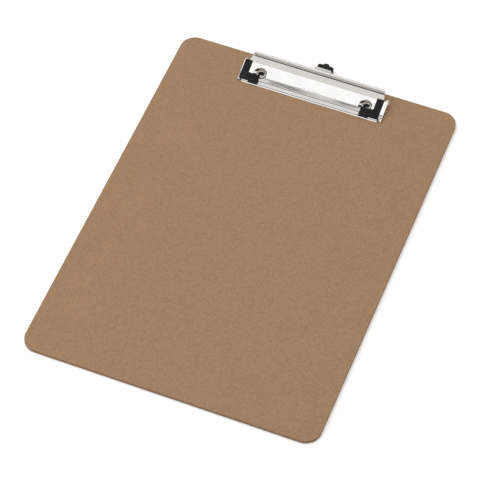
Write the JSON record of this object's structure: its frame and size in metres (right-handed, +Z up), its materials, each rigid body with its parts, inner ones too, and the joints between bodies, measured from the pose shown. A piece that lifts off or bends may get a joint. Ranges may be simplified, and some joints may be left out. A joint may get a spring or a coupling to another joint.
{
  "type": "clipboard",
  "caption": "Hardboard clipboard with a low, wide chrome lever clip, rubber corner grips and a hanger that slides out behind the clip.",
  "frame": {"origin": "middle of the board's flat underside", "axes": "+X to the right across the board, +Y along the board towards the clip, +Z up out of the writing face"},
  "size_m": [0.23, 0.3296, 0.0129],
  "materials": {
    "hardboard": "plain brown pressed fibreboard, matt, with fine flecks",
    "chrome": "bright chrome plated sheet steel",
    "bright_steel": "bright nickel plated steel",
    "black_rubber": "matt black rubber",
    "black_plastic": "satin black moulded plastic"
  },
  "bodies": {
    "board_body": {"board": "hardboard", "base_plate": "chrome", "hinge_pin": "bright_steel", "left_spring": "bright_steel", "right_spring": "bright_steel", "left_eyelet": "bright_steel", "right_eyelet": "bright_steel"},
    "jaw": {"jaw_plate": "chrome", "left_corner_grip": "black_rubber", "right_corner_grip": "black_rubber"},
    "hanger": {"hanger_tongue": "chrome", "hanger_grip": "black_plastic"}
  },
  "joints": [
    {"name": "jaw_hinge", "type": "hinge", "parent": "board_body", "child": "jaw", "pos_m": [0, 0.1476, 0.0066], "axis": [-1, 0, 0], "range_deg": [0, 30], "stiffness_Nm_per_rad": 0.14, "springref_deg": -68.75, "deforming": ["left_spring", "right_spring"]},
    {"name": "hanger_slide", "type": "slide", "parent": "board_body", "child": "hanger", "axis": [0, 1, 0], "range_m": [0, 0.0102]}
  ]
}
